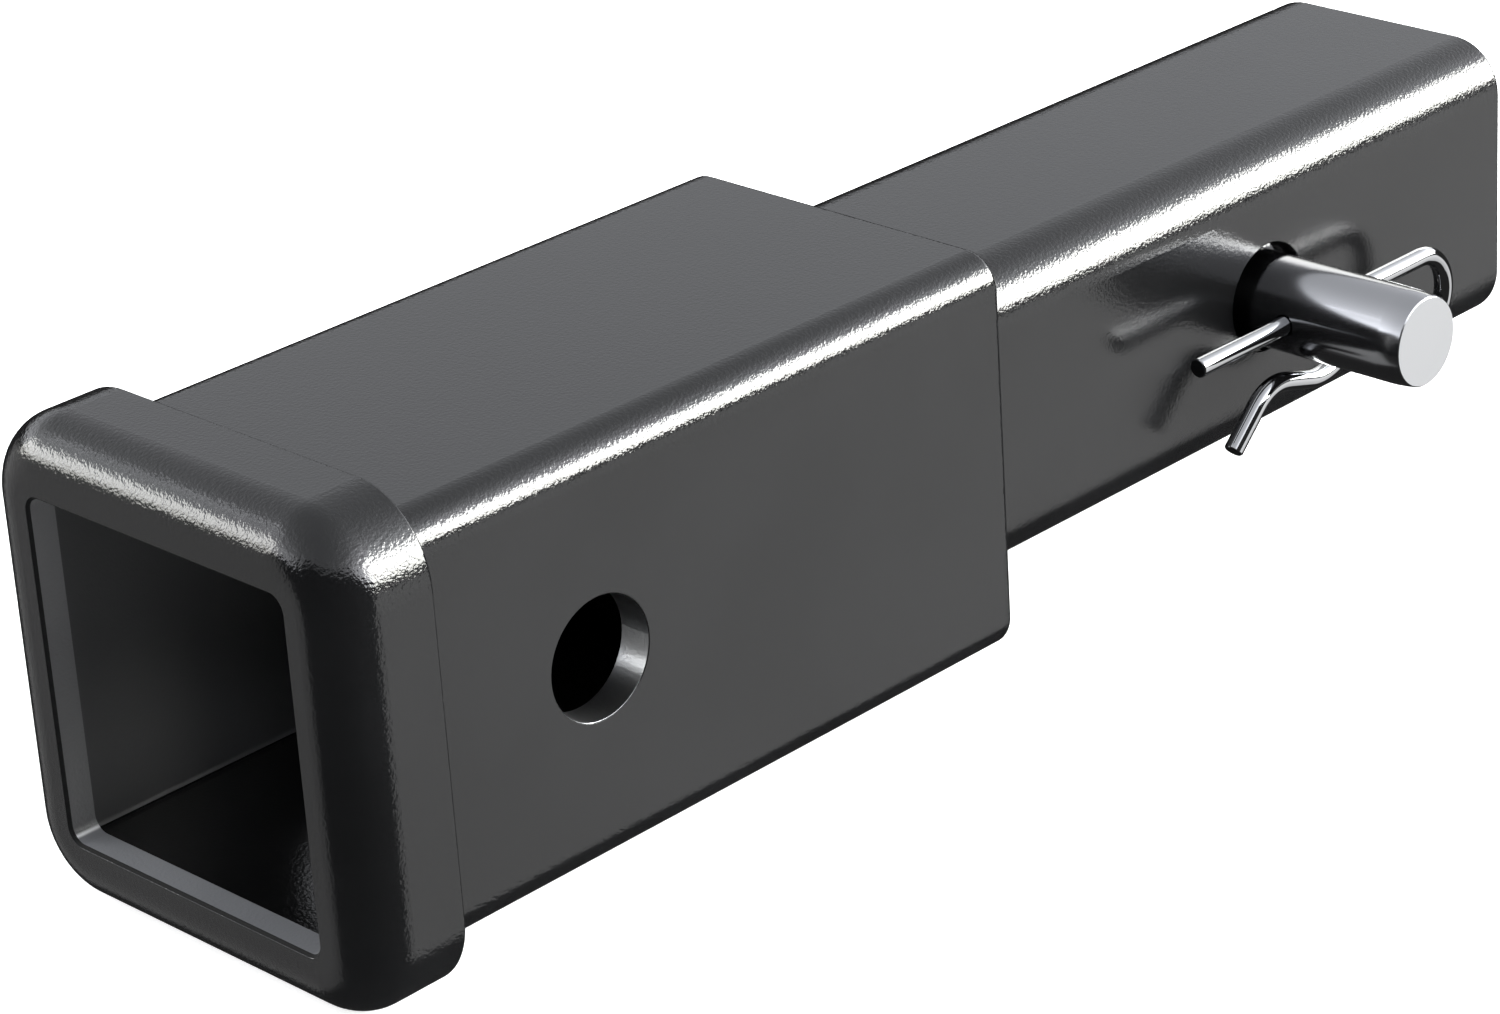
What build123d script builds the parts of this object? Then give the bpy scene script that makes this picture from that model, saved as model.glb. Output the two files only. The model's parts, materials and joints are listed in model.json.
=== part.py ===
from build123d import *
import math
import os

# Hitch receiver extender, in millimetres.
# The origin is the centre of the mouth. +X runs along the axis towards the free end of the
# shank, +Y is the side of the pin's bent head, and +Z is up.

# Receiver tube, the square tube that takes a ball mount
TUBE_WIDTH = 65.0
TUBE_WALL = 5.5
TUBE_CORNER = 5.6
TUBE_INNER_CORNER = 1.0
RECEIVER_LENGTH = 135.8
RECEIVER_HOLE_X = 50.2
RECEIVER_HOLE_DIAMETER = 18.75

# Mouth collar, the forged ring round the tube's front end
COLLAR_PROUD = 5.3
COLLAR_DEPTH = 17.1
COLLAR_CORNER = 13.0
COLLAR_ROUNDOVER = 7.9
COLLAR_LIP = 4.6
MOUTH_CORNER = 2.4
MOUTH_BEVEL = 0.4

# Shank, the narrower square tube that fits inside the receiver tube and enters the vehicle's
SHANK_GAP = 1.95
SHANK_WALL = 5.0
SHANK_CORNER = 9.0
SHANK_EXPOSED = 137.05
SHANK_INSERTED = 41.0
SHANK_HOLE_FROM_END = 64.0
SHANK_HOLE_DIAMETER = 18.3

# Rear weld, the bead that joins the shank to the receiver tube's rear end
WELD_BARE_MARGIN = 1.95
WELD_ROOT = 3.0
WELD_BULGE = 0.6

# Bent pin, which settles against one side of the shank's larger holes
PIN_DIAMETER = 15.6
PIN_REACH = 30.85
PIN_SEAT_ANGLE = -37.0
PIN_SEAT_GAP = 0.1
PIN_CLIP_GAP = 6.8
PIN_HEAD_GAP = 11.2
PIN_BEND_RADIUS = 13.0
PIN_ARM_LENGTH = 45.0
ROD_ROLL_LENGTH = 4.0
ROD_ROLL_DEPTH = 0.35
ROD_END_BREAK = 0.2

# Wire clip: a straight leg through the pin, a loop, and a leg bent round the pin
WIRE_DIAMETER = 3.2
WIRE_END_BREAK = 0.25
CLIP_HOLE_CLEARANCE = 0.4
CLIP_LEG_REACH = 29.7
CLIP_LOOP_X = 28.4
CLIP_LOOP_RADIUS = 6.9
CLIP_HUMP_SHIFT = 1.2
CLIP_HUMP_RADIUS = 10.7
CLIP_HUMP_GAP = 2.45
CLIP_KNEE_GAP = 0.1
CLIP_KNEE_SPAN = 10.9
CLIP_KNEE_RADIUS = 8.0
CLIP_HANDLE_ANGLE = 42.8
CLIP_HANDLE_LENGTH = 8.4

# Edges: broken rims of the side holes, and rounded rear rims
EDGE_BREAK = 0.15
COLLAR_REAR_ROUND = 0.5
TUBE_REAR_ROUND = 1.3
SHANK_END_ROUND = 0.8

# Places that follow from the sizes above
TUBE_BORE = TUBE_WIDTH - 2 * TUBE_WALL
COLLAR_WIDTH = TUBE_WIDTH + 2 * COLLAR_PROUD
SHANK_WIDTH = TUBE_BORE - 2 * SHANK_GAP
SHANK_FRONT_X = RECEIVER_LENGTH - SHANK_INSERTED
SHANK_END_X = RECEIVER_LENGTH + SHANK_EXPOSED
SHANK_HOLE_X = SHANK_END_X - SHANK_HOLE_FROM_END
SHANK_SIDE = SHANK_WIDTH / 2
PIN_RADIUS = PIN_DIAMETER / 2
WIRE_RADIUS = WIRE_DIAMETER / 2
PIN_OFFSET = SHANK_HOLE_DIAMETER / 2 - PIN_RADIUS - PIN_SEAT_GAP
PIN_X = SHANK_HOLE_X + PIN_OFFSET * math.cos(math.radians(PIN_SEAT_ANGLE))
PIN_Z = PIN_OFFSET * math.sin(math.radians(PIN_SEAT_ANGLE))
CLIP_Y = -(SHANK_SIDE + PIN_CLIP_GAP + WIRE_RADIUS)
PIN_TIP_Y = -(SHANK_SIDE + PIN_REACH)
PIN_BEND_Y = SHANK_SIDE + PIN_HEAD_GAP


def square_bar(width, corner, x_from, x_to):
    """A bar of rounded square section along X."""
    section = Plane.YZ.offset(x_from) * RectangleRounded(width, width, corner)
    return extrude(section, amount=x_to - x_from)


def cross_cylinder(x, z, diameter, length):
    """A cylinder across the part, along Y and centred on the XZ plane."""
    return Pos(x, 0, z) * Rot(90, 0, 0) * Cylinder(diameter / 2, length)


def drill_side_holes(body, x, diameter, width):
    """Drills both side walls at x and breaks the outer rims of the holes."""
    drilled = body - cross_cylinder(x, 0, diameter, width * 2)
    rims = [
        edge
        for edge in drilled.edges().filter_by(GeomType.CIRCLE)
        if abs(abs(edge.center().Y) - width / 2) < EDGE_BREAK / 2
        and abs(edge.center(CenterOf.BOUNDING_BOX).X - x) < EDGE_BREAK
        and abs(edge.radius - diameter / 2) < EDGE_BREAK / 2
    ]
    return chamfer(rims, length=EDGE_BREAK)


def end_rim(body, x):
    """The edges of the outer outline of a square bar's end face at x."""
    face = body.faces().filter_by(Plane.YZ).sort_by(lambda f: abs(f.center().X - x))[0]
    return face.outer_wire().edges()


def receiver_tube():
    """The square tube, from the collar's lip to the rear end."""
    outer = square_bar(TUBE_WIDTH, TUBE_CORNER, COLLAR_LIP, RECEIVER_LENGTH)
    outer = fillet(end_rim(outer, RECEIVER_LENGTH), radius=TUBE_REAR_ROUND)
    tube = outer - square_bar(TUBE_BORE, TUBE_INNER_CORNER, 0, RECEIVER_LENGTH)
    return drill_side_holes(tube, RECEIVER_HOLE_X, RECEIVER_HOLE_DIAMETER, TUBE_WIDTH)


def mouth_collar():
    """The ring with its rounded front, a lip over the tube's end and a seat round the tube."""
    ring = square_bar(COLLAR_WIDTH, COLLAR_CORNER, 0, COLLAR_DEPTH)
    ring = fillet(end_rim(ring, 0), radius=COLLAR_ROUNDOVER)
    ring = fillet(end_rim(ring, COLLAR_DEPTH), radius=COLLAR_REAR_ROUND)
    ring -= square_bar(TUBE_BORE, MOUTH_CORNER, 0, COLLAR_DEPTH)
    ring -= square_bar(TUBE_WIDTH, TUBE_CORNER, COLLAR_LIP, COLLAR_DEPTH)
    front = ring.faces().filter_by(Plane.YZ).sort_by(Axis.X)[0]
    return chamfer(front.inner_wires()[0].edges(), length=MOUTH_BEVEL)


def shank_tube():
    """The narrower tube, pushed into the receiver tube and open at both ends."""
    outer = square_bar(SHANK_WIDTH, SHANK_CORNER, SHANK_FRONT_X, SHANK_END_X)
    outer = fillet(end_rim(outer, SHANK_END_X), radius=SHANK_END_ROUND)
    bore = SHANK_WIDTH - 2 * SHANK_WALL
    tube = outer - square_bar(bore, SHANK_CORNER - SHANK_WALL, SHANK_FRONT_X, SHANK_END_X)
    return drill_side_holes(tube, SHANK_HOLE_X, SHANK_HOLE_DIAMETER, SHANK_WIDTH)


def rear_weld():
    """The bead round the shank: a convex fillet with a root in the gap inside the tube."""
    leg = (TUBE_WIDTH - SHANK_WIDTH) / 2 - WELD_BARE_MARGIN
    crown = leg / 2 + WELD_BULGE
    face = Wire([
        Line((0, WELD_ROOT), (SHANK_GAP, WELD_ROOT)),
        Line((SHANK_GAP, WELD_ROOT), (SHANK_GAP, 0)),
        Line((SHANK_GAP, 0), (leg, 0)),
        ThreePointArc((leg, 0), (crown, -crown), (0, -leg)),
        Line((0, -leg), (0, WELD_ROOT)),
    ])
    start = Plane(origin=(RECEIVER_LENGTH, SHANK_SIDE, 0), x_dir=(0, 1, 0), z_dir=(0, 0, 1))
    outline = Plane.YZ.offset(RECEIVER_LENGTH) * RectangleRounded(SHANK_WIDTH, SHANK_WIDTH, SHANK_CORNER)
    return sweep(start * make_face(face), path=outline.wire())


def rolled_rod(length):
    """A rod along +Z from the origin, whose sheared far end is rolled in and broken."""
    roll_radius = PIN_RADIUS - ROD_ROLL_DEPTH
    arc_radius = (ROD_ROLL_LENGTH**2 + ROD_ROLL_DEPTH**2) / (2 * ROD_ROLL_DEPTH)
    middle = ROD_ROLL_LENGTH / 2
    middle_drop = arc_radius - math.sqrt(arc_radius**2 - middle**2)
    roll_start = length - ROD_END_BREAK - ROD_ROLL_LENGTH
    outline = Wire([
        Line((0, 0), (PIN_RADIUS, 0)),
        Line((PIN_RADIUS, 0), (PIN_RADIUS, roll_start)),
        ThreePointArc(
            (PIN_RADIUS, roll_start),
            (PIN_RADIUS - middle_drop, roll_start + middle),
            (roll_radius, roll_start + ROD_ROLL_LENGTH),
        ),
        Line((roll_radius, length - ROD_END_BREAK), (roll_radius - ROD_END_BREAK, length)),
        Line((roll_radius - ROD_END_BREAK, length), (0, length)),
        Line((0, length), (0, 0)),
    ])
    return revolve(Plane.XZ * make_face(outline), axis=Axis.Z)


def hitch_pin():
    """The round rod: a straight shaft, a quarter bend and a level arm, cross-drilled for the clip."""
    bend_start = Plane(origin=(PIN_X, PIN_BEND_Y, PIN_Z), x_dir=(1, 0, 0), z_dir=(0, -1, 0))
    shaft = bend_start * rolled_rod(PIN_BEND_Y - PIN_TIP_Y)
    bend_axis = Axis((PIN_X + PIN_BEND_RADIUS, PIN_BEND_Y, PIN_Z), (0, 0, -1))
    bend = revolve(bend_start * Circle(PIN_RADIUS), axis=bend_axis, revolution_arc=90)
    arm_start = Plane(
        origin=(PIN_X + PIN_BEND_RADIUS, PIN_BEND_Y + PIN_BEND_RADIUS, PIN_Z),
        x_dir=(0, 1, 0),
        z_dir=(1, 0, 0),
    )
    arm = arm_start * rolled_rod(PIN_ARM_LENGTH - PIN_BEND_RADIUS)
    clip_hole = Cylinder((WIRE_DIAMETER + CLIP_HOLE_CLEARANCE) / 2, PIN_DIAMETER * 2)
    return shaft + bend + arm - Pos(PIN_X, CLIP_Y, PIN_Z) * Rot(0, 90, 0) * clip_hole


def crossing_tangent(first, first_radius, second, second_radius, side):
    """The contact points of the tangent that crosses between two circles.

    The wire runs from the first circle to the second. Side is +1 where it turns
    clockwise on the first circle and -1 where it turns anticlockwise.
    """
    apart = math.dist(first, second)
    heading = math.atan2(second[1] - first[1], second[0] - first[0])
    normal = heading + side * math.acos((first_radius + second_radius) / apart)
    leave = (first[0] + first_radius * math.cos(normal), first[1] + first_radius * math.sin(normal))
    meet = (second[0] - second_radius * math.cos(normal), second[1] - second_radius * math.sin(normal))
    return leave, meet


def arc_on(centre, radius, start, end, clockwise):
    """The arc about a centre from one contact point to the next."""
    from_angle = math.degrees(math.atan2(start[1] - centre[1], start[0] - centre[0]))
    to_angle = math.degrees(math.atan2(end[1] - centre[1], end[0] - centre[0]))
    sweep_angle = -((from_angle - to_angle) % 360) if clockwise else (to_angle - from_angle) % 360
    return CenterArc(centre, radius, from_angle, sweep_angle)


def clip_path():
    """The wire's centreline about the pin's axis: x along the part, y up."""
    knee_depth = PIN_RADIUS + WIRE_RADIUS + CLIP_KNEE_GAP
    hump_depth = PIN_RADIUS + WIRE_RADIUS + CLIP_HUMP_GAP
    loop = (CLIP_LOOP_X, -CLIP_LOOP_RADIUS)
    hump = (CLIP_HUMP_SHIFT, CLIP_HUMP_RADIUS - hump_depth)
    neck = (CLIP_HUMP_SHIFT + CLIP_KNEE_SPAN, -knee_depth - CLIP_KNEE_RADIUS)
    knee = (CLIP_HUMP_SHIFT - CLIP_KNEE_SPAN, -knee_depth - CLIP_KNEE_RADIUS)
    loop_top = (CLIP_LOOP_X, 0)
    loop_leave, neck_meet = crossing_tangent(loop, CLIP_LOOP_RADIUS, neck, CLIP_KNEE_RADIUS, 1)
    neck_leave, hump_meet = crossing_tangent(neck, CLIP_KNEE_RADIUS, hump, CLIP_HUMP_RADIUS, -1)
    hump_leave, knee_meet = crossing_tangent(hump, CLIP_HUMP_RADIUS, knee, CLIP_KNEE_RADIUS, 1)
    slope = math.radians(CLIP_HANDLE_ANGLE)
    knee_leave = (
        knee[0] - CLIP_KNEE_RADIUS * math.sin(slope),
        knee[1] + CLIP_KNEE_RADIUS * math.cos(slope),
    )
    handle_tip = (
        knee_leave[0] - CLIP_HANDLE_LENGTH * math.cos(slope),
        knee_leave[1] - CLIP_HANDLE_LENGTH * math.sin(slope),
    )
    return Wire([
        Line((-CLIP_LEG_REACH, 0), loop_top),
        arc_on(loop, CLIP_LOOP_RADIUS, loop_top, loop_leave, True),
        Line(loop_leave, neck_meet),
        arc_on(neck, CLIP_KNEE_RADIUS, neck_meet, neck_leave, False),
        Line(neck_leave, hump_meet),
        arc_on(hump, CLIP_HUMP_RADIUS, hump_meet, hump_leave, True),
        Line(hump_leave, knee_meet),
        arc_on(knee, CLIP_KNEE_RADIUS, knee_meet, knee_leave, False),
        Line(knee_leave, handle_tip),
    ])


def pin_clip():
    """The spring wire, swept along its bends, with its two cut ends broken."""
    path = Plane(origin=(PIN_X, CLIP_Y, PIN_Z), x_dir=(1, 0, 0), z_dir=(0, -1, 0)) * clip_path()
    section = Plane(origin=path @ 0, z_dir=path % 0) * Circle(WIRE_RADIUS)
    wire = sweep(section, path=path)
    tips = [path @ 0, path @ 1]
    rims = [
        edge
        for edge in wire.edges().filter_by(GeomType.CIRCLE)
        if any((edge.arc_center - tip).length < WIRE_END_BREAK for tip in tips)
    ]
    return chamfer(rims, length=WIRE_END_BREAK)


PIECES = {
    "receiver_tube": receiver_tube,
    "mouth_collar": mouth_collar,
    "shank_tube": shank_tube,
    "rear_weld": rear_weld,
    "hitch_pin": hitch_pin,
    "pin_clip": pin_clip,
}

os.makedirs("parts", exist_ok=True)
for name, build in PIECES.items():
    export_step(build(), f"parts/{name}.step")
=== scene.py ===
"""Looks of the hitch receiver extender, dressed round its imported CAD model.

The three square tubes, the pin and the clip keep their CAD shapes and get finishes here. The weld
bead behind the receiver tube is built as a rippled bead and stands for its plain CAD solid.
"""

import json
import logging
import math
from dataclasses import dataclass, field
from enum import Enum
from typing import Any, Union

import bpy
from mathutils import Euler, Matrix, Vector

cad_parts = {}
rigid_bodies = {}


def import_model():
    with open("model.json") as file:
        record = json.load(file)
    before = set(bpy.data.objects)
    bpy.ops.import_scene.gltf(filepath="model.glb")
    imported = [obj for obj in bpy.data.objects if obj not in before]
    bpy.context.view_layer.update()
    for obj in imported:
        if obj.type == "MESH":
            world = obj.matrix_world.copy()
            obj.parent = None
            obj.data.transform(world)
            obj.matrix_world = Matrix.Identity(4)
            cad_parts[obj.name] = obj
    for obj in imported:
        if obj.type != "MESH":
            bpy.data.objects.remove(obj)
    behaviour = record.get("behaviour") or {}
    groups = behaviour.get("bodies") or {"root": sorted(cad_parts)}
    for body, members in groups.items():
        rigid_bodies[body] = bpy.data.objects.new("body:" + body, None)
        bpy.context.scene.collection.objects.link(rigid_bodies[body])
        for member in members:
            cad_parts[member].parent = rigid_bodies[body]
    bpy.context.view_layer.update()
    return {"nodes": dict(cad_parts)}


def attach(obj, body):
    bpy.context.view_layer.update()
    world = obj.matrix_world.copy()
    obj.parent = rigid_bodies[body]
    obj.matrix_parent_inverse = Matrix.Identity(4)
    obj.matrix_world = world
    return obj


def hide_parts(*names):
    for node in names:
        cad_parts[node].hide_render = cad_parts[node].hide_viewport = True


LOG = logging.getLogger("extender")
MM = 0.001
DEGREES = 180 / math.pi
NOISE_MIDDLE = 0.5

Number = Union[int, float]
Colour = tuple[float, float, float, float]
Range = tuple[float, float]


class Body(str, Enum):
    """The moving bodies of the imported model."""

    EXTENDER = "extender"
    PIN = "pin"
    CLIP = "clip"


class Node(str, Enum):
    """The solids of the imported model."""

    RECEIVER_TUBE = "receiver_tube"
    MOUTH_COLLAR = "mouth_collar"
    SHANK_TUBE = "shank_tube"
    REAR_WELD = "rear_weld"
    HITCH_PIN = "hitch_pin"
    PIN_CLIP = "pin_clip"


class Slot(str, Enum):
    """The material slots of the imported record."""

    POWDER_COAT = "powder_coated_steel"
    PIN_CHROME = "chromed_pin"
    WIRE_CHROME = "chromed_wire"


class Signal:
    """A number on a node socket, on which Python's arithmetic adds Math nodes."""

    def __init__(self, sheet: "Sheet", socket: bpy.types.NodeSocket) -> None:
        """Wraps a socket.

        Args:
            sheet: the node sheet that the socket is on.
            socket: the output socket.
        """
        self.sheet = sheet
        self.socket = socket

    def _math(self, operation: str, *values: Union["Signal", Number]) -> "Signal":
        """Adds one Math node.

        Args:
            operation: the node's operation.
            values: its inputs, in order.

        Returns:
            The node's result.
        """
        inputs = dict(enumerate(values))
        return self.sheet.add("ShaderNodeMath", {"operation": operation}, inputs)["Value"]

    def __add__(self, other: Union["Signal", Number]) -> "Signal":
        """Sum."""
        return self._math("ADD", self, other)

    __radd__ = __add__

    def __sub__(self, other: Union["Signal", Number]) -> "Signal":
        """Difference."""
        return self._math("SUBTRACT", self, other)

    def __rsub__(self, other: Union["Signal", Number]) -> "Signal":
        """Reflected difference."""
        return self._math("SUBTRACT", other, self)

    def __mul__(self, other: Union["Signal", Number]) -> "Signal":
        """Product."""
        return self._math("MULTIPLY", self, other)

    __rmul__ = __mul__

    def __truediv__(self, other: Union["Signal", Number]) -> "Signal":
        """Quotient."""
        return self._math("DIVIDE", self, other)

    def above(self, edge: Number) -> "Signal":
        """1 where the number is above an edge, else 0."""
        return self._math("GREATER_THAN", self, edge)

    def below(self, edge: Number) -> "Signal":
        """1 where the number is below an edge, else 0."""
        return self._math("LESS_THAN", self, edge)

    def at_least(self, floor: Union["Signal", Number]) -> "Signal":
        """The number, or the floor where the number is smaller."""
        return self._math("MAXIMUM", self, floor)

    def at_most(self, ceiling: Union["Signal", Number]) -> "Signal":
        """The number, or the ceiling where the number is larger."""
        return self._math("MINIMUM", self, ceiling)

    def root(self) -> "Signal":
        """The square root."""
        return self._math("SQRT", self)

    def towards(self, other: Union["Signal", Number], share: "Signal") -> "Signal":
        """The number, moved by a share of the way to another."""
        return self + (other - self) * share

    def exponential(self) -> "Signal":
        """e to the number's power."""
        return self._math("EXPONENT", self)

    def arc_sine(self) -> "Signal":
        """The angle whose sine is the number, in degrees."""
        return self._math("ARCSINE", self) * DEGREES

    def arc_tangent(self, run: "Signal") -> "Signal":
        """The angle of this rise over a run, in degrees."""
        return self._math("ARCTAN2", self, run) * DEGREES

    def magnitude(self) -> "Signal":
        """The number without its sign."""
        return self._math("ABSOLUTE", self)

    def ramp(self, low: Number, high: Number, to_low: Number = 0.0, to_high: Number = 1.0) -> "Signal":
        """Maps a range onto another, smoothly and clamped.

        Args:
            low: start of the range.
            high: end of the range.
            to_low: result at and below the start.
            to_high: result at and above the end.

        Returns:
            The mapped number.
        """
        settings = {"interpolation_type": "SMOOTHSTEP"}
        limits = {"Value": self, "From Min": low, "From Max": high, "To Min": to_low, "To Max": to_high}
        return self.sheet.add("ShaderNodeMapRange", settings, limits)["Result"]


class Outputs:
    """The output sockets of one node, by name."""

    def __init__(self, sheet: "Sheet", node: bpy.types.Node) -> None:
        """Wraps a node.

        Args:
            sheet: the node sheet that the node is on.
            node: the node.
        """
        self.sheet = sheet
        self.node = node

    def __getitem__(self, name: str) -> Signal:
        """The enabled output of that name."""
        found = [s for s in self.node.outputs if s.name == name and s.enabled]
        return Signal(self.sheet, found[0])


class Sheet:
    """The node tree of one material or world."""

    def __init__(self, owner: Union[bpy.types.Material, bpy.types.World]) -> None:
        """Clears an owner's node tree and works on it.

        Args:
            owner: the material or world.
        """
        owner.use_nodes = True
        self.tree = owner.node_tree
        self.tree.nodes.clear()

    def add(self, kind: str, settings: dict[str, Any], inputs: dict[Any, Any]) -> Outputs:
        """Adds one node.

        Args:
            kind: the node's type.
            settings: its own settings, set first.
            inputs: values or signals, by the socket's name or number.

        Returns:
            The node's outputs.
        """
        node = self.tree.nodes.new(kind)
        for name, value in settings.items():
            setattr(node, name, value)
        for name, value in inputs.items():
            socket = node.inputs[name] if isinstance(name, int) else self._input(node, name)
            if isinstance(value, Signal):
                self.tree.links.new(value.socket, socket)
            else:
                socket.default_value = value
        return Outputs(self, node)

    @staticmethod
    def _input(node: bpy.types.Node, name: str) -> bpy.types.NodeSocket:
        """The enabled input of a node with that name."""
        return next(s for s in node.inputs if s.name == name and s.enabled)

    def place(self) -> Signal:
        """The point on the surface in the object's own space, in metres."""
        return self.add("ShaderNodeTexCoord", {}, {})["Object"]

    def stretched(self, point: Signal, scale: tuple[float, float, float]) -> Signal:
        """Scales a point along the axes.

        Args:
            point: the point.
            scale: factor along X, Y and Z.

        Returns:
            The scaled point.
        """
        return self.add("ShaderNodeVectorMath", {"operation": "MULTIPLY"}, {0: point, 1: scale})["Vector"]

    def axes(self, point: Signal) -> tuple[Signal, Signal, Signal]:
        """The X, Y and Z numbers of a point."""
        split = self.add("ShaderNodeSeparateXYZ", {}, {"Vector": point})
        return split["X"], split["Y"], split["Z"]

    def noise(self, point: Signal, per_metre: float, detail: float = 2.0) -> Signal:
        """Soft random variation.

        Args:
            point: where on the surface.
            per_metre: how many features there are in a metre.
            detail: octaves.

        Returns:
            A number around 0.5.
        """
        inputs = {"Vector": point, "Scale": per_metre, "Detail": detail, "Roughness": 0.5}
        return self.add("ShaderNodeTexNoise", {}, inputs)["Fac"]

    def mix(self, share: Signal, first: Union[Signal, Colour], second: Colour) -> Signal:
        """Puts two colours together.

        Args:
            share: how much of the second there is.
            first: a colour or a signal.
            second: a colour.

        Returns:
            The colour.
        """
        inputs = {"Factor": share, "A": first, "B": second}
        return self.add("ShaderNodeMix", {"data_type": "RGBA"}, inputs)["Result"]

    def bump(self, height: Signal, depth: float) -> Signal:
        """A normal that follows a height.

        Args:
            height: the height.
            depth: what a height of 1 stands for, in metres.

        Returns:
            The normal.
        """
        inputs = {"Height": height, "Distance": depth, "Strength": 1.0}
        return self.add("ShaderNodeBump", {}, inputs)["Normal"]

    def surface(self, inputs: dict[str, Any]) -> None:
        """Ends the sheet in a Principled shader with these inputs."""
        shader = self.add("ShaderNodeBsdfPrincipled", {}, inputs)["BSDF"]
        self.add("ShaderNodeOutputMaterial", {}, {"Surface": shader})


def rgb(red: float, green: float, blue: float) -> Colour:
    """A colour as the sockets take it."""
    return (red, green, blue, 1.0)


@dataclass(frozen=True)
class SquareSkin:
    """The skin inside a square opening, along a stretch of its depth."""

    start: float
    end: float
    half_width: float = 27.0 * MM
    margin: float = 0.15 * MM

    def share(self, point: tuple[Signal, Signal, Signal]) -> Signal:
        """1 on this skin and 0 elsewhere.

        Args:
            point: the X, Y and Z of the point on the surface.

        Returns:
            The share.
        """
        along, side, up = point
        out = side.magnitude().at_least(up.magnitude())
        return along.above(self.start) * along.below(self.end) * out.below(self.half_width + self.margin)


@dataclass(frozen=True)
class SideSkin(SquareSkin):
    """The two side walls of such a skin."""

    def share(self, point: tuple[Signal, Signal, Signal]) -> Signal:
        """1 on the side walls and 0 elsewhere."""
        lean = point[1].magnitude() - point[2].magnitude()
        return super().share(point) * lean.above(0)


@dataclass(frozen=True)
class FloorSkin(SquareSkin):
    """The bottom wall of such a skin."""

    def share(self, point: tuple[Signal, Signal, Signal]) -> Signal:
        """1 on the bottom wall and 0 elsewhere."""
        lean = point[2] + point[1].magnitude()
        return super().share(point) * lean.below(0)


@dataclass(frozen=True)
class CornerSkin(SquareSkin):
    """The two lower corners of such a skin."""

    width: float = 0.7 * MM

    def share(self, point: tuple[Signal, Signal, Signal]) -> Signal:
        """1 along the lower corners and 0 elsewhere."""
        lean = (point[2] + point[1].magnitude()).magnitude()
        return super().share(point) * lean.ramp(0, self.width, 1.0, 0.0)


@dataclass(frozen=True)
class HoleSkin:
    """The wall of a round hole across the part."""

    centre: float
    radius: float
    margin: float = 0.03 * MM

    def share(self, point: tuple[Signal, Signal, Signal]) -> Signal:
        """1 on the hole's wall and 0 elsewhere.

        Args:
            point: the X, Y and Z of the point on the surface.

        Returns:
            The share.
        """
        along, _, up = point
        away = along - self.centre
        return (away * away + up * up).root().below(self.radius + self.margin)


@dataclass(frozen=True)
class WearAndPaintedLight:
    """A patch where the coat's colour and gloss change: rubbed thin in some places, and painted light and
    shade in others.
    """

    skin: Union[SquareSkin, HoleSkin]
    tone: Colour
    gloss: float
    metal: float = 0.0


@dataclass(frozen=True)
class Roundings:
    """The rounded edges of a square tube, and those of its two ends."""

    flat_half: float
    front: float
    rear: float
    blend: float = 0.8 * MM
    rear_blend: float = 0.2 * MM

    def share(self, point: tuple[Signal, Signal, Signal]) -> Signal:
        """1 on the rounded edges and 0 on the flats.

        Args:
            point: the X, Y and Z of the point on the surface.

        Returns:
            The share.
        """
        along, side, up = point
        inner = side.magnitude().at_most(up.magnitude())
        corners = inner.ramp(self.flat_half - self.blend, self.flat_half + self.blend)
        before = along.ramp(self.front - self.blend, self.front + self.blend, 1.0, 0.0)
        behind = along.ramp(self.rear - self.rear_blend, self.rear + self.rear_blend)
        return corners.at_least(before).at_least(behind)


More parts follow.
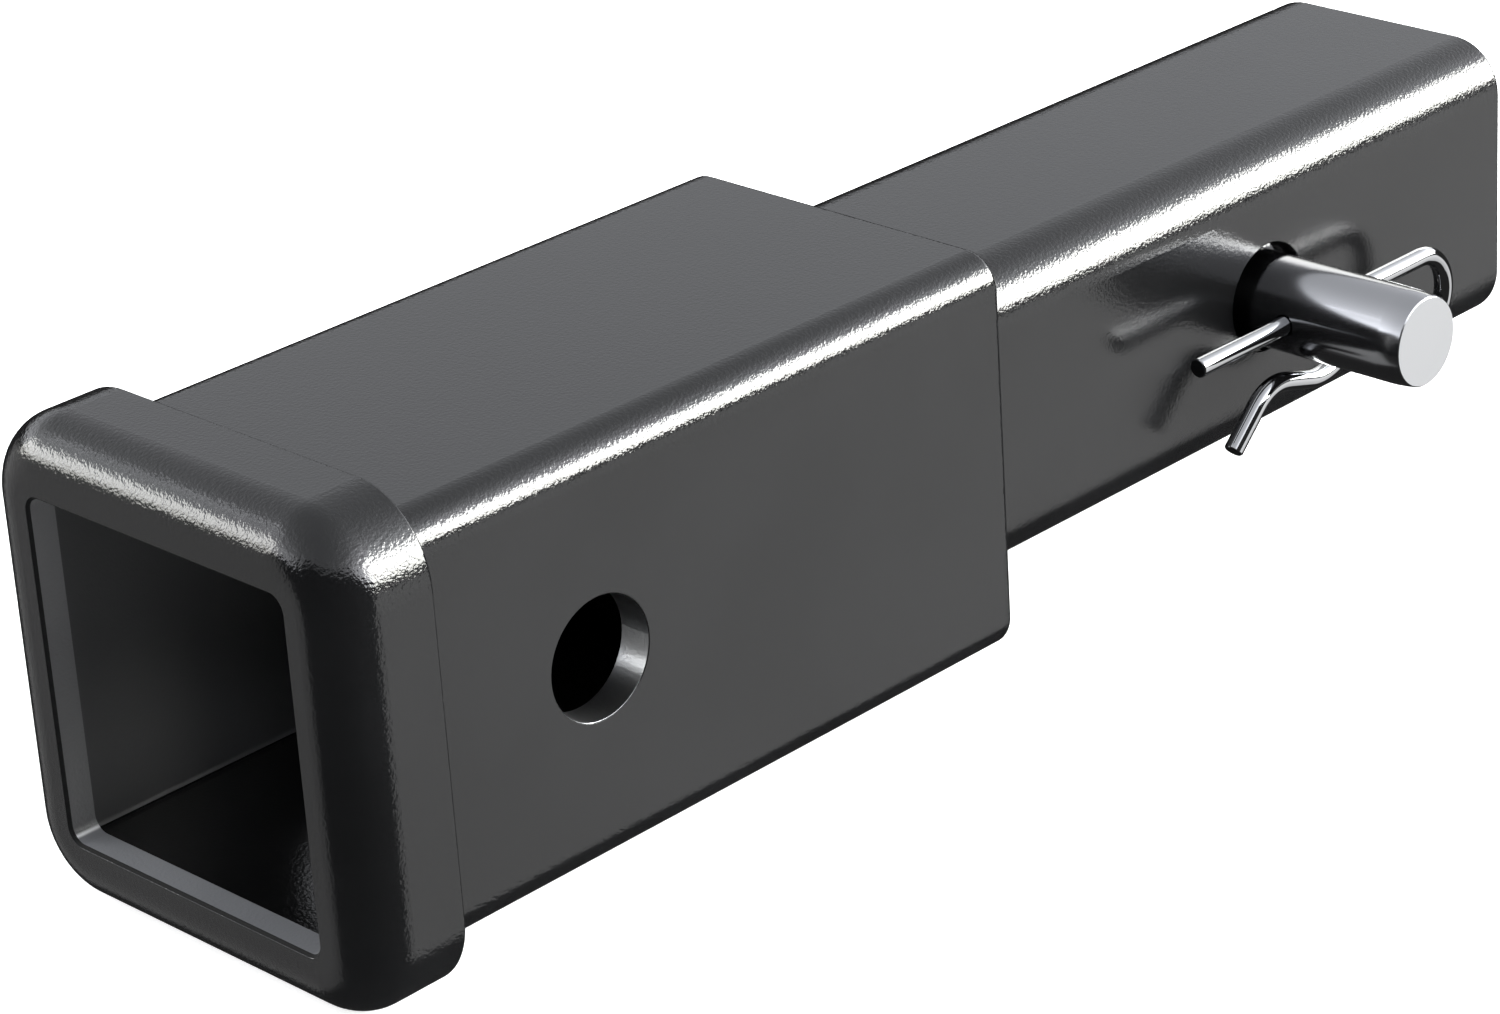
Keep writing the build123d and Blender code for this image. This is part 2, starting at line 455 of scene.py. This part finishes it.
@dataclass(frozen=True)
class PowderCoat:
    """Semi-gloss black powder coat with a fine orange-peel skin."""

    black: Colour = rgb(0.0040, 0.0041, 0.0043)
    dusty: Colour = rgb(0.0052, 0.0053, 0.0056)
    cloud_per_metre: float = 38.0
    cloud_detail: float = 3.0
    dust_from: Range = (0.35, 0.7)
    gloss: float = 0.15
    gloss_spread: float = 0.03
    gloss_from: Range = (0.3, 0.7)
    edge_gloss: float = 0.1
    # The cloud noise makes each patch, rubbed coat and painted light alike, a little uneven.
    scuff_and_painted_light_from: Range = (0.2, 0.8)
    least_scuff_and_painted_light: float = 0.85
    skin_detail: float = 1.0
    peel_per_metre: float = 1900.0
    peel_depth: float = 0.055 * MM
    flat_peel: float = 0.5
    grain_per_metre: float = 4400.0
    grain_share: float = 0.3
    ior: float = 1.5

    def build(self, name: str, edges: Roundings, worn_and_painted_light: tuple[WearAndPaintedLight, ...] = ()) -> bpy.types.Material:
        """Makes the material.

        Args:
            name: the material's name.
            edges: the piece's rounded edges, where the coat draws thin and shines more.
            worn_and_painted_light: the places where the coat is rubbed thin, and those where light and
                shade are painted into its colour.

        Returns:
            The material.
        """
        material = bpy.data.materials.new(name)
        sheet = Sheet(material)
        point = sheet.place()
        place = sheet.axes(point)
        cloud = sheet.noise(point, self.cloud_per_metre, self.cloud_detail)
        peel = sheet.noise(point, self.peel_per_metre, self.skin_detail)
        grain = sheet.noise(point, self.grain_per_metre, self.skin_detail)
        rounded = edges.share(place)
        colour = sheet.mix(cloud.ramp(*self.dust_from), self.black, self.dusty)
        gloss = cloud.ramp(*self.gloss_from, self.gloss, self.gloss + self.gloss_spread)
        gloss = gloss.towards(self.edge_gloss, rounded)
        metal: Union[Signal, Number] = 0.0
        skin = (peel - NOISE_MIDDLE) + (grain - NOISE_MIDDLE) * self.grain_share
        skin = skin * rounded.ramp(0, 1, self.flat_peel, 1)
        # Each patch mixes its tone into the colour. Some are rubbed coat; the others paint light and
        # shade into the colour: painted reflections, a painted highlight and a painted dark line.
        for wear_and_painted_light in worn_and_painted_light:
            share = wear_and_painted_light.skin.share(place)
            scuffed_and_painted_light = share * cloud.ramp(*self.scuff_and_painted_light_from, self.least_scuff_and_painted_light, 1.0)
            colour = sheet.mix(scuffed_and_painted_light, colour, wear_and_painted_light.tone)
            gloss = gloss.towards(wear_and_painted_light.gloss, share)
            metal = share * wear_and_painted_light.metal if wear_and_painted_light.metal else metal
        sheet.surface({
            "Base Color": colour,
            "Metallic": metal,
            "Roughness": gloss,
            "IOR": self.ior,
            "Normal": sheet.bump(skin, self.peel_depth),
        })
        return material


@dataclass(frozen=True)
class PinChrome:
    """Bright chrome on a drawn rod, satin on its two sheared ends."""

    name: str = "chrome_pin"
    plate: Colour = rgb(0.38, 0.385, 0.4)
    end_face: Colour = rgb(0.627, 0.635, 0.65)
    gloss: float = 0.14
    gloss_spread: float = 0.03
    smear_per_metre: float = 90.0
    smear_detail: float = 3.0
    smear_from: Range = (0.3, 0.7)
    end_gloss: float = 0.1
    draw_per_metre: float = 2600.0
    draw_stretch: tuple[float, float, float] = (1.0, 0.03, 1.0)
    draw_depth: float = 0.003 * MM
    end_depth: float = 0.15 * MM

    def build(self, tip_y: float, arm_end_x: float) -> bpy.types.Material:
        """Makes the material.

        Args:
            tip_y: where the shaft's end face lies.
            arm_end_x: where the arm's end face lies.

        Returns:
            The material.
        """
        material = bpy.data.materials.new(self.name)
        sheet = Sheet(material)
        point = sheet.place()
        along_arm, along_shaft, _ = sheet.axes(point)
        on_end = along_shaft.below(tip_y + self.end_depth) + along_arm.above(arm_end_x - self.end_depth)
        drawn = sheet.noise(sheet.stretched(point, self.draw_stretch), self.draw_per_metre)
        smear = sheet.noise(point, self.smear_per_metre, self.smear_detail)
        gloss = smear.ramp(*self.smear_from, self.gloss, self.gloss + self.gloss_spread)
        sheet.surface({
            "Base Color": sheet.mix(on_end, self.plate, self.end_face),
            "Metallic": 1.0,
            "Roughness": gloss + on_end * self.end_gloss,
            "Normal": sheet.bump(drawn, self.draw_depth),
        })
        return material


@dataclass(frozen=True)
class WireChrome:
    """Bright chrome on spring wire, dark on the two cut ends."""

    name: str = "chrome_wire"
    plate: Colour = rgb(0.48, 0.485, 0.495)
    cut: Colour = rgb(0.06, 0.06, 0.063)
    gloss: float = 0.05
    gloss_spread: float = 0.03
    smear_per_metre: float = 160.0
    smear_detail: float = 3.0
    smear_from: Range = (0.3, 0.7)
    cut_gloss: float = 0.4
    cut_depth: float = 0.1 * MM
    pits_per_metre: float = 3000.0
    pit_depth: float = 0.002 * MM

    def build(self, leg_end_x: float, handle_way: Vector, handle_end: float) -> bpy.types.Material:
        """Makes the material.

        Args:
            leg_end_x: where the straight leg's cut face lies.
            handle_way: the direction in which the handle runs to its tip.
            handle_end: how far along that direction its cut face lies.

        Returns:
            The material.
        """
        material = bpy.data.materials.new(self.name)
        sheet = Sheet(material)
        point = sheet.place()
        across, _, upward = sheet.axes(point)
        along_handle = across * handle_way.x + upward * handle_way.z
        cut = across.below(leg_end_x + self.cut_depth) + along_handle.above(handle_end - self.cut_depth)
        smear = sheet.noise(point, self.smear_per_metre, self.smear_detail)
        pits = sheet.noise(point, self.pits_per_metre)
        gloss = smear.ramp(*self.smear_from, self.gloss, self.gloss + self.gloss_spread)
        sheet.surface({
            "Base Color": sheet.mix(cut, self.plate, self.cut),
            "Metallic": 1.0,
            "Roughness": gloss + cut * self.cut_gloss,
            "Normal": sheet.bump(pits, self.pit_depth),
        })
        return material


@dataclass(frozen=True)
class StudioPaper:
    """The pale matt floor, which glows a little from the lamps beneath it."""

    name: str = "studio_floor"
    white: Colour = rgb(0.86, 0.86, 0.86)
    roughness: float = 0.9
    shine: float = 0.2
    under_light: float = 0.7
    tooth_per_metre: float = 700.0
    tooth_depth: float = 0.02 * MM

    def build(self) -> bpy.types.Material:
        """Makes the material.

        Returns:
            The material.
        """
        material = bpy.data.materials.new(self.name)
        sheet = Sheet(material)
        tooth = sheet.noise(sheet.place(), self.tooth_per_metre)
        sheet.surface({
            "Base Color": self.white,
            "Roughness": self.roughness,
            "Specular IOR Level": self.shine,
            "Emission Color": rgb(1.0, 1.0, 1.0),
            "Emission Strength": self.under_light,
            "Normal": sheet.bump(tooth, self.tooth_depth),
        })
        return material


@dataclass
class WeldedBody:
    """The receiver tube, the mouth collar, the shank and the weld bead between them."""

    nodes: dict[str, bpy.types.Object]
    body: Body = Body.EXTENDER
    finish: PowderCoat = field(default_factory=PowderCoat)
    tube_flat: float = 26.9 * MM
    tube_rear_edge: float = 134.5 * MM
    tube_end: float = 135.8 * MM
    collar_flat: float = 24.8 * MM
    collar_front_edge: float = 7.9 * MM
    collar_rear_edge: float = 16.6 * MM
    shank_rear_edge: float = 272.0 * MM
    lip: float = 4.6 * MM
    rim_bevel: float = 0.4 * MM
    # How far the painted dark line at the lip's front edge runs past the bevel.
    rim_line: float = 0.15 * MM
    face_skin: float = 0.03 * MM
    hole_x: float = 50.2 * MM
    hole_radius: float = 9.375 * MM
    shank_side: float = 25.05 * MM
    shank_corner: float = 9.0 * MM
    leg: float = 5.5 * MM
    bulge: float = 0.42 * MM
    ripple: float = 0.3 * MM
    ripple_pitch: float = 2.6 * MM
    ripple_fall: float = 0.6
    ripple_rise: float = 6.0
    bow: float = 1.7 * MM
    wander: float = 0.12 * MM
    wander_waves: int = 7
    root: float = 0.4 * MM
    station_step: float = 0.35 * MM
    across: int = 17

    def outline(self) -> list[tuple[Vector, Vector, float]]:
        """Walks round the shank's outline.

        Returns:
            At each station the point in the YZ plane, the outward direction and the way come.
        """
        straight = 2 * (self.shank_side - self.shank_corner)
        turn = math.pi / 2 * self.shank_corner
        stations = []
        travelled = 0.0
        for quarter in range(4):
            spin = quarter * math.pi / 2
            right = Vector((0.0, math.cos(spin), math.sin(spin)))
            up = Vector((0.0, -math.sin(spin), math.cos(spin)))
            count = round(straight / self.station_step)
            for i in range(count):
                way = straight * i / count
                point = right * self.shank_side + up * (way - straight / 2)
                stations.append((point, right.copy(), travelled + way))
            travelled += straight
            count = round(turn / self.station_step)
            centre = right * (self.shank_side - self.shank_corner) + up * straight / 2
            for i in range(count):
                angle = math.pi / 2 * i / count
                out = right * math.cos(angle) + up * math.sin(angle)
                stations.append((centre + out * self.shank_corner, out, travelled + turn * i / count))
            travelled += turn
        return stations

    def bead_height(self, travelled: float, total: float, across: float) -> float:
        """How far the bead's skin stands off its flat chord.

        Args:
            travelled: the way round the shank.
            total: the whole way round.
            across: from 0 at the tube's rear face to 1 on the shank.

        Returns:
            The height.
        """
        count = round(total / self.ripple_pitch)
        middle = 1 - (2 * across - 1) ** 2
        phase = travelled / total * count - self.bow / self.ripple_pitch * middle
        step = phase - math.floor(phase)
        scale = (1 - step) ** self.ripple_fall * min(1.0, step * self.ripple_rise)
        wander = self.wander * math.sin(travelled / total * 2 * math.pi * self.wander_waves) * middle
        return self.bulge * middle + self.ripple * scale * middle**0.5 + wander

    def build_bead(self) -> bpy.types.Object:
        """Builds the rippled bead as one closed ring.

        Returns:
            The piece.
        """
        stations = self.outline()
        total = stations[-1][2] + self.station_step
        forward = Vector((1.0, 0.0, 0.0))
        rows = []
        for point, out, travelled in stations:
            base = point + forward * self.tube_end
            row = []
            for i in range(self.across):
                share = i / (self.across - 1)
                chord = out * self.leg * (1 - share) + forward * self.leg * share
                lift = (out + forward).normalized() * self.bead_height(travelled, total, share)
                row.append(base + chord + lift)
            row.append(base - out * self.root + forward * self.leg / 2)
            row.append(base + out * self.leg / 2 - forward * self.root)
            rows.append(row)
        width = len(rows[0])
        faces = []
        for r in range(len(rows)):
            following = (r + 1) % len(rows)
            for c in range(width):
                beside = (c + 1) % width
                this, other = r * width, following * width
                faces.append((this + c, this + beside, other + beside, other + c))
        mesh = bpy.data.meshes.new("weld_bead")
        mesh.from_pydata([v for row in rows for v in row], [], faces)
        mesh.polygons.foreach_set("use_smooth", [True] * len(mesh.polygons))
        mesh.update()
        bead = bpy.data.objects.new("weld_bead", mesh)
        bpy.context.scene.collection.objects.link(bead)
        return bead

    def wear_and_painted_light(self) -> dict[Node, tuple[WearAndPaintedLight, ...]]:
        """Where the coat of each tube is thin, and where light and shade are painted into it.

        Returns:
            The rubbed and painted places, by piece.
        """
        bare = HoleSkin(self.hole_x, self.hole_radius)
        walls = SideSkin(self.lip, self.tube_end)
        lip_front = self.rim_bevel + self.rim_line
        lip_sides = SideSkin(lip_front, self.lip)
        lip_floor = FloorSkin(lip_front, self.lip)
        lip_corners = CornerSkin(lip_front, self.lip)
        rim = SquareSkin(self.face_skin, lip_front, margin=self.rim_bevel)
        return {
            Node.RECEIVER_TUBE: (
                # Painted light: the bore's side walls are coloured lighter than its top and floor,
                # standing in for the light they catch.
                WearAndPaintedLight(walls, tone=rgb(0.033, 0.033, 0.034), gloss=0.55),
                WearAndPaintedLight(bare, tone=rgb(0.45, 0.455, 0.46), gloss=0.32, metal=1.0),
            ),
            Node.MOUTH_COLLAR: (
                # Painted shade: a near-black, matt line along the bevel at the front of the lip.
                WearAndPaintedLight(rim, tone=rgb(0.002, 0.002, 0.002), gloss=0.9),
                # Painted reflections: the lip's sides and floor are coloured light grey, the floor
                # lighter than the sides, standing in for the light they mirror.
                WearAndPaintedLight(lip_sides, tone=rgb(0.095, 0.095, 0.097), gloss=0.4),
                WearAndPaintedLight(lip_floor, tone=rgb(0.235, 0.24, 0.252), gloss=0.4),
                # Painted highlight: the lip's two lower corners are coloured near white, a bright streak
                # along each.
                WearAndPaintedLight(lip_corners, tone=rgb(0.9, 0.9, 0.9), gloss=0.4),
            ),
            Node.SHANK_TUBE: (),
        }

    def roundings(self) -> dict[Node, Roundings]:
        """Where each tube's rounded edges lie. The bead is round all over.

        Returns:
            The rounded edges, by piece.
        """
        shank_flat = self.shank_side - self.shank_corner
        return {
            Node.RECEIVER_TUBE: Roundings(self.tube_flat, front=0.0, rear=self.tube_rear_edge),
            Node.MOUTH_COLLAR: Roundings(self.collar_flat, self.collar_front_edge, self.collar_rear_edge),
            Node.SHANK_TUBE: Roundings(shank_flat, front=0.0, rear=self.shank_rear_edge),
            Node.REAR_WELD: Roundings(0.0, front=0.0, rear=1.0),
        }

    def dress(self) -> list[str]:
        """Coats the three tubes, with painted light and shade at the mouth and in the bore, and sets the
        bead in place of its solid.

        Returns:
            The names of the pieces.
        """
        worn_and_painted_light = self.wear_and_painted_light()
        edges = self.roundings()
        for node, places in worn_and_painted_light.items():
            coat = self.finish.build(f"powder_coat_{node.value}", edges[node], places)
            paint(self.nodes[node.value], coat)
        bead = self.build_bead()
        paint(bead, self.finish.build("powder_coat_bead", edges[Node.REAR_WELD]))
        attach(bead, self.body.value)
        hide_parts(Node.REAR_WELD.value)
        return [*(node.value for node in worn_and_painted_light), bead.name]


@dataclass
class HitchPin:
    """The bent pin."""

    nodes: dict[str, bpy.types.Object]
    body: Body = Body.PIN
    finish: PinChrome = field(default_factory=PinChrome)

    def dress(self) -> list[str]:
        """Plates the pin.

        Returns:
            The name of the piece.
        """
        pin = self.nodes[Node.HITCH_PIN.value]
        tip_y = min(vertex.co.y for vertex in pin.data.vertices)
        arm_end_x = max(vertex.co.x for vertex in pin.data.vertices)
        paint(pin, self.finish.build(tip_y, arm_end_x))
        return [pin.name]


@dataclass
class SpringClip:
    """The wire clip."""

    nodes: dict[str, bpy.types.Object]
    body: Body = Body.CLIP
    finish: WireChrome = field(default_factory=WireChrome)
    handle_slope: float = 42.8
    handle_top: float = -8 * MM

    def dress(self) -> list[str]:
        """Plates the wire.

        Returns:
            The name of the piece.
        """
        clip = self.nodes[Node.PIN_CLIP.value]
        slope = math.radians(self.handle_slope)
        way = Vector((-math.cos(slope), 0.0, -math.sin(slope)))
        points = [vertex.co for vertex in clip.data.vertices]
        leg_end_x = min(point.x for point in points)
        handle_end = max(point.dot(way) for point in points if point.z < self.handle_top)
        paint(clip, self.finish.build(leg_end_x, way, handle_end))
        return [clip.name]


def paint(piece: bpy.types.Object, material: bpy.types.Material) -> None:
    """Gives a piece its finish.

    Args:
        piece: the piece.
        material: its material, on every slot.
    """
    if not piece.data.materials:
        piece.data.materials.append(material)
    for holder in piece.material_slots:
        holder.material = material


@dataclass(frozen=True)
class SoftBox:
    """A flat soft light that faces the part."""

    name: str
    azimuth: float
    half_angle: float
    bottom: float
    top: float
    radiance: float
    tint: tuple[float, float, float] = (1.0, 1.0, 0.95)
    distance: float = 1.4

    def build(self, target: Vector) -> None:
        """Hangs the light.

        Args:
            target: the point that it faces.
        """
        middle = math.radians((self.bottom + self.top) / 2)
        turn = math.radians(self.azimuth)
        across = 2 * self.distance * math.tan(math.radians(self.half_angle))
        tall = 2 * self.distance * math.tan(math.radians(self.top - self.bottom) / 2)
        lamp = bpy.data.lights.new(self.name, "AREA")
        lamp.shape = "RECTANGLE"
        lamp.size = across
        lamp.size_y = tall
        lamp.color = self.tint
        lamp.energy = self.radiance * math.pi * across * tall
        level = math.cos(middle)
        away = Vector((math.cos(turn) * level, math.sin(turn) * level, math.sin(middle)))
        holder = bpy.data.objects.new(self.name, lamp)
        holder.location = target + away * self.distance
        holder.rotation_mode = "QUATERNION"
        holder.rotation_quaternion = away.to_track_quat("Z", "Y")
        holder.visible_camera = False
        bpy.context.scene.collection.objects.link(holder)


@dataclass(frozen=True)
class Card:
    """A pale card that stands in the tent and is seen in the part's gloss."""

    azimuth: float
    half_angle: float
    bottom: float
    top: float
    at_top: float
    at_bottom: float
    feather: float = 3.0
    end_feather: float = 1.0

    def shine(self, sky: "TentSky") -> Signal:
        """The card's radiance over the directions.

        Args:
            sky: the directions.

        Returns:
            Its radiance where it stands, and 0 elsewhere.
        """
        aside = sky.aside(self.azimuth).magnitude()
        within = aside.ramp(self.half_angle - self.feather, self.half_angle + self.feather, 1.0, 0.0)
        over = sky.height.ramp(self.bottom - self.end_feather, self.bottom + self.end_feather)
        under = sky.height.ramp(self.top - self.end_feather, self.top + self.end_feather, 1.0, 0.0)
        level = sky.height.ramp(self.bottom, self.top, self.at_bottom, self.at_top)
        return within * over * under * level


@dataclass(frozen=True)
class Halo:
    """The glow that a soft box spreads over the tent's cloth."""

    azimuth: float
    spread: float
    height: float
    fade: float
    lowest: float
    strength: float

    def shine(self, sky: "TentSky") -> Signal:
        """The halo's radiance over the directions.

        Args:
            sky: the directions.

        Returns:
            Its radiance.
        """
        sideways = sky.aside(self.azimuth) / self.spread
        upward = (sky.height.at_least(self.lowest) - self.height) / self.fade
        return ((sideways * sideways + upward) * -1).exponential() * self.strength


class TentSky:
    """The directions round the part, as angles."""

    def __init__(self, sheet: Sheet) -> None:
        """Works out the height of each direction.

        Args:
            sheet: the world's node sheet.
        """
        self.sheet = sheet
        direction = sheet.add("ShaderNodeTexCoord", {}, {})["Generated"]
        self.east, self.north, rise = sheet.axes(direction)
        self.height = rise.arc_sine()

    def aside(self, azimuth: float) -> Signal:
        """The angle of each direction from an azimuth.

        Args:
            azimuth: the azimuth, in degrees.

        Returns:
            The angle, in degrees.
        """
        turn = math.radians(azimuth)
        ahead = self.east * math.cos(turn) + self.north * math.sin(turn)
        beside = self.north * math.cos(turn) - self.east * math.sin(turn)
        return beside.arc_tangent(ahead)


@dataclass(frozen=True)
class LightTent:
    """A white cloth tent over the part, open towards the camera, with cards standing in it."""

    cloth: float = 0.74
    dark: float = 0.03
    open_azimuth: float = -135.0
    open_inner: float = 38.0
    open_outer: float = 70.0
    hem: float = 11.0
    open_hem: float = 32.0
    hem_feather: float = 1.5
    white: Colour = rgb(1.0, 1.0, 1.0)
    tint: Colour = rgb(0.965, 0.985, 1.03)
    halos: tuple[Halo, ...] = (
        Halo(azimuth=-55, spread=45, height=39, fade=11, lowest=27, strength=3.0),
        Halo(azimuth=130, spread=42, height=27, fade=14, lowest=20, strength=2.0),
    )
    cards: tuple[Card, ...] = (
        Card(azimuth=-46, half_angle=18.5, bottom=-41, top=-2.5, at_top=1.38, at_bottom=0.86),
        Card(azimuth=119, half_angle=29, bottom=-47, top=4, at_top=0.6, at_bottom=0.3),
        Card(azimuth=120, half_angle=13, bottom=35, top=37.5, at_top=4.0, at_bottom=4.0),
    )

    def build(self) -> bpy.types.World:
        """Makes the world.

        Returns:
            The world, lit by the cloth, the halos and the cards.
        """
        world = bpy.data.worlds.new("light_tent")
        sheet = Sheet(world)
        sky = TentSky(sheet)
        opening = sky.aside(self.open_azimuth).magnitude()
        hem = opening.ramp(self.open_inner, self.open_outer, self.open_hem, self.hem)
        above_hem = (sky.height - hem).ramp(-self.hem_feather, self.hem_feather)
        shine = above_hem * (sum(halo.shine(sky) for halo in self.halos) + self.cloth)
        shine = shine + sum(card.shine(sky) for card in self.cards) + self.dark
        colour = sheet.mix(above_hem, self.white, self.tint)
        lit = sheet.add("ShaderNodeBackground", {}, {"Color": colour, "Strength": shine})
        sheet.add("ShaderNodeOutputWorld", {}, {"Surface": lit["Background"]})
        return world


@dataclass
class Studio:
    """The floor, the backdrop, the light and the camera."""

    target: Vector = field(default_factory=lambda: Vector((0.13, 0.0, 0.0)))
    floor_z: float = -37.8 * MM
    floor_size: float = 12.0
    wall_inset: float = 0.2
    wall_foot: float = -0.5
    wall_sides: int = 48
    camera_place: Vector = field(default_factory=lambda: Vector((-0.328936, -0.452612, 0.278954)))
    camera_turn: tuple[float, float, float] = (66.969642, 3.154643, -46.528056)
    camera_lens: float = 108.84534
    camera_shift: tuple[float, float] = (-0.038258, -0.080881)
    camera_sensor: float = 36.0
    camera_near: float = 0.01
    tent: LightTent = field(default_factory=LightTent)
    lights: tuple[SoftBox, ...] = (
        SoftBox("key_box", azimuth=-43, half_angle=22, bottom=5.5, top=31, radiance=21),
        SoftBox("side_box", azimuth=127, half_angle=13.5, bottom=6, top=23, radiance=7),
    )

    def build_floor(self) -> None:
        """Lays the pale floor, lit from beneath and left out of the part's gloss."""
        half = self.floor_size / 2
        mesh = bpy.data.meshes.new("floor")
        corners = [(-half, -half, 0), (half, -half, 0), (half, half, 0), (-half, half, 0)]
        mesh.from_pydata(corners, [], [(0, 1, 2, 3)])
        mesh.materials.append(StudioPaper().build())
        floor = bpy.data.objects.new("floor", mesh)
        floor.location = (self.target.x, self.target.y, self.floor_z)
        floor.visible_glossy = False
        floor.visible_shadow = False
        bpy.context.scene.collection.objects.link(floor)

    def build_backdrop(self) -> None:
        """Stands a plain white wall round the floor, which only the camera sees."""
        material = bpy.data.materials.new("backdrop")
        Sheet(material).surface({
            "Base Color": rgb(0.0, 0.0, 0.0),
            "Emission Color": rgb(1.0, 1.0, 1.0),
            "Emission Strength": 1.0,
        })
        mesh = bpy.data.meshes.new("backdrop")
        sides = self.wall_sides
        ring = [2 * math.pi * i / sides for i in range(sides)]
        radius = self.floor_size / 2 - self.wall_inset
        heights = (self.wall_foot, radius)
        points = [(radius * math.cos(a), radius * math.sin(a), z) for z in heights for a in ring]
        faces = [(i, (i + 1) % sides, sides + (i + 1) % sides, sides + i) for i in range(sides)]
        mesh.from_pydata(points, [], faces)
        mesh.materials.append(material)
        wall = bpy.data.objects.new("backdrop", mesh)
        for ray in ("diffuse", "glossy", "transmission", "shadow"):
            setattr(wall, f"visible_{ray}", False)
        bpy.context.scene.collection.objects.link(wall)

    def build_light(self) -> None:
        """Pitches the tent and hangs the soft boxes."""
        bpy.context.scene.world = self.tent.build()
        for light in self.lights:
            light.build(self.target)

    def build_camera(self) -> None:
        """Sets the camera where the photograph was taken from."""
        lens = bpy.data.cameras.new("camera")
        lens.sensor_width = self.camera_sensor
        lens.lens = self.camera_lens
        lens.shift_x, lens.shift_y = self.camera_shift
        lens.clip_start = self.camera_near
        camera = bpy.data.objects.new("camera", lens)
        camera.location = self.camera_place
        camera.rotation_euler = Euler([math.radians(a) for a in self.camera_turn])
        bpy.context.scene.collection.objects.link(camera)
        bpy.context.scene.camera = camera

    def build(self) -> None:
        """Builds the whole studio."""
        self.build_floor()
        self.build_backdrop()
        self.build_light()
        self.build_camera()
        bpy.context.scene.view_settings.view_transform = "Standard"


def clear_startup() -> None:
    """Removes what Blender opens with."""
    for thing in list(bpy.data.objects):
        bpy.data.objects.remove(thing)


def main() -> None:
    """Loads the frame and builds the part's looks and the studio round it."""
    logging.basicConfig(level=logging.INFO, format="%(name)s: %(message)s")
    clear_startup()
    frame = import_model()
    for kind in (WeldedBody, HitchPin, SpringClip):
        assembly = kind(frame["nodes"])
        for piece in assembly.dress():
            LOG.info("%s on body %s: %s", kind.__name__, assembly.body.value, piece)
    Studio().build()


if __name__ == "__main__":
    main()
